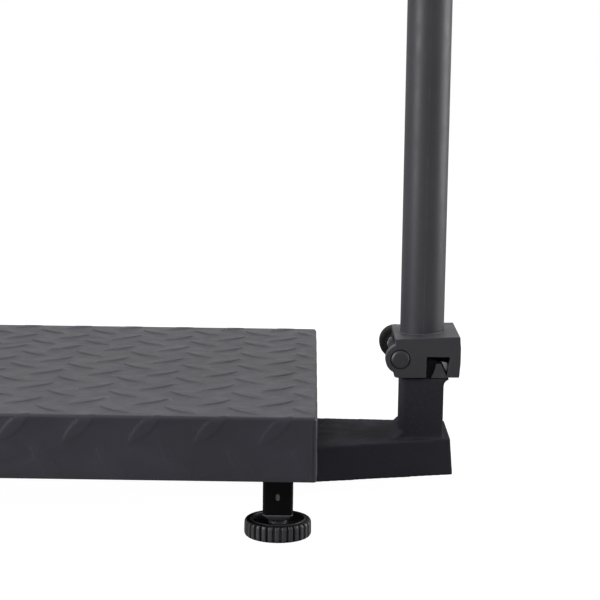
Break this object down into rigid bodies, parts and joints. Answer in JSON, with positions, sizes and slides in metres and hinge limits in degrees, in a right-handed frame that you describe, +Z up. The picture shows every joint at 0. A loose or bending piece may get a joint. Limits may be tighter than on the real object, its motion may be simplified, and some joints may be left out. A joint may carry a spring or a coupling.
{
  "type": "animal weighing scale",
  "caption": "Folding platform scale: tread-plate pan on a load-cell frame with levelling feet, and a hinged column carrying a tilting indicator.",
  "frame": {"origin": "on the floor under the centre of the whole scale's outline", "axes": "+Z up; +X from the pan towards the column; +Y towards the clamp knob's side; the indicator faces -X"},
  "size_m": [0.6252, 0.4, 0.8601],
  "materials": {
    "tread_plate": "satin black powder coat on embossed tread plate",
    "powder_coat": "satin black powder coat",
    "cast_coat": "satin black powder coat over a casting",
    "column_coat": "fine satin black powder coat",
    "black_steel": "black coated steel",
    "black_plastic": "moulded black plastic",
    "rubber": "matt black rubber",
    "aluminium": "milled aluminium",
    "zinc_steel": "zinc plated",
    "brass": "turned brass",
    "housing": "fine textured dark plastic",
    "window": "gloss tinted window",
    "display": "reflective liquid crystal panel",
    "circuit": "green circuit board",
    "battery": "wrapped battery pack",
    "key_grey": "matt grey silicone"
  },
  "bodies": {
    "base": {"pan": "tread_plate", "frame_beam_left": "powder_coat", "frame_beam_right": "powder_coat", "frame_rail_front": "powder_coat", "frame_rail_rear": "powder_coat", "leg_front_left": "powder_coat", "leg_front_right": "powder_coat", "leg_rear_left": "powder_coat", "leg_rear_right": "powder_coat", "load_cell_plate": "powder_coat", "spider_plate": "powder_coat", "spider_bar_left": "powder_coat", "spider_bar_right": "powder_coat", "arm_casting": "cast_coat", "leg_plug_front_left": "black_plastic", "leg_plug_front_right": "black_plastic", "leg_plug_rear_left": "black_plastic", "leg_plug_rear_right": "black_plastic", "foot_sole_front_left": "rubber", "foot_sole_front_right": "rubber", "foot_sole_rear_left": "rubber", "foot_sole_rear_right": "rubber", "spider_pad_front_left": "rubber", "spider_pad_front_right": "rubber", "spider_pad_rear_left": "rubber", "spider_pad_rear_right": "rubber", "load_cell": "aluminium", "load_cell_spacer": "aluminium", "cell_screw_fixed_1": "zinc_steel", "cell_screw_fixed_2": "zinc_steel", "cell_screw_free_1": "zinc_steel", "cell_screw_free_2": "zinc_steel", "arm_bolt_1": "zinc_steel", "arm_bolt_2": "zinc_steel"},
    "column": {"hinge_block": "cast_coat", "column_tube": "column_coat", "column_plug": "black_plastic", "indicator_bracket": "powder_coat", "bracket_screw": "zinc_steel", "pivot_bolt": "black_steel", "pivot_washer": "zinc_steel"},
    "clamp_knob": {"clamp_knob": "black_plastic", "clamp_knob_insert": "brass"},
    "indicator": {"indicator_front_case": "housing", "indicator_rear_case": "housing", "display_window": "window", "display_panel": "display", "circuit_board": "circuit", "battery": "battery"},
    "tilt_knob_front": {"tilt_knob_front": "black_plastic"},
    "tilt_knob_rear": {"tilt_knob_rear": "black_plastic"},
    "key_1": {"key_1": "key_grey"},
    "key_2": {"key_2": "key_grey"},
    "key_3": {"key_3": "key_grey"},
    "key_4": {"key_4": "key_grey"},
    "foot_front_left": {"foot_front_left": "black_plastic"},
    "foot_front_right": {"foot_front_right": "black_plastic"},
    "foot_rear_left": {"foot_rear_left": "black_plastic"},
    "foot_rear_right": {"foot_rear_right": "black_plastic"}
  },
  "joints": [
    {"name": "column_fold", "type": "hinge", "parent": "base", "child": "column", "pos_m": [0.2605, 0, 0.1205], "axis": [0, 1, 0], "range_deg": [-90, 0]},
    {"name": "clamp_knob_turn", "type": "hinge", "parent": "column", "child": "clamp_knob", "pos_m": [0.2605, 0.05, 0.1205], "axis": [0, 1, 0], "continuous": true},
    {"name": "indicator_tilt", "type": "hinge", "parent": "column", "child": "indicator", "pos_m": [0.265, 0, 0.795], "axis": [0, 1, 0], "range_deg": [-30, 20]},
    {"name": "tilt_knob_front_turn", "type": "hinge", "parent": "indicator", "child": "tilt_knob_front", "pos_m": [0.265, -0.11, 0.795], "axis": [0, 1, 0], "continuous": true},
    {"name": "tilt_knob_rear_turn", "type": "hinge", "parent": "indicator", "child": "tilt_knob_rear", "pos_m": [0.265, 0.11, 0.795], "axis": [0, 1, 0], "continuous": true},
    {"name": "key_1_press", "type": "slide", "parent": "indicator", "child": "key_1", "axis": [0.9659, 0, -0.2588], "range_m": [0, 0.0012], "stiffness_N_per_m": 300, "springref_m": -0.0008},
    {"name": "key_2_press", "type": "slide", "parent": "indicator", "child": "key_2", "axis": [0.9659, 0, -0.2588], "range_m": [0, 0.0012], "stiffness_N_per_m": 300, "springref_m": -0.0008},
    {"name": "key_3_press", "type": "slide", "parent": "indicator", "child": "key_3", "axis": [0.9659, 0, -0.2588], "range_m": [0, 0.0012], "stiffness_N_per_m": 300, "springref_m": -0.0008},
    {"name": "key_4_press", "type": "slide", "parent": "indicator", "child": "key_4", "axis": [0.9659, 0, -0.2588], "range_m": [0, 0.0012], "stiffness_N_per_m": 300, "springref_m": -0.0008},
    {"name": "foot_front_left_turn", "type": "hinge", "parent": "base", "child": "foot_front_left", "pos_m": [-0.2815, -0.163, 0.005], "axis": [0, 0, 1], "range_deg": [-1080, 1080]},
    {"name": "foot_front_right_turn", "type": "hinge", "parent": "base", "child": "foot_front_right", "pos_m": [0.1575, -0.163, 0.005], "axis": [0, 0, 1], "range_deg": [-1080, 1080]},
    {"name": "foot_rear_left_turn", "type": "hinge", "parent": "base", "child": "foot_rear_left", "pos_m": [-0.2815, 0.163, 0.005], "axis": [0, 0, 1], "range_deg": [-1080, 1080]},
    {"name": "foot_rear_right_turn", "type": "hinge", "parent": "base", "child": "foot_rear_right", "pos_m": [0.1575, 0.163, 0.005], "axis": [0, 0, 1], "range_deg": [-1080, 1080]}
  ]
}
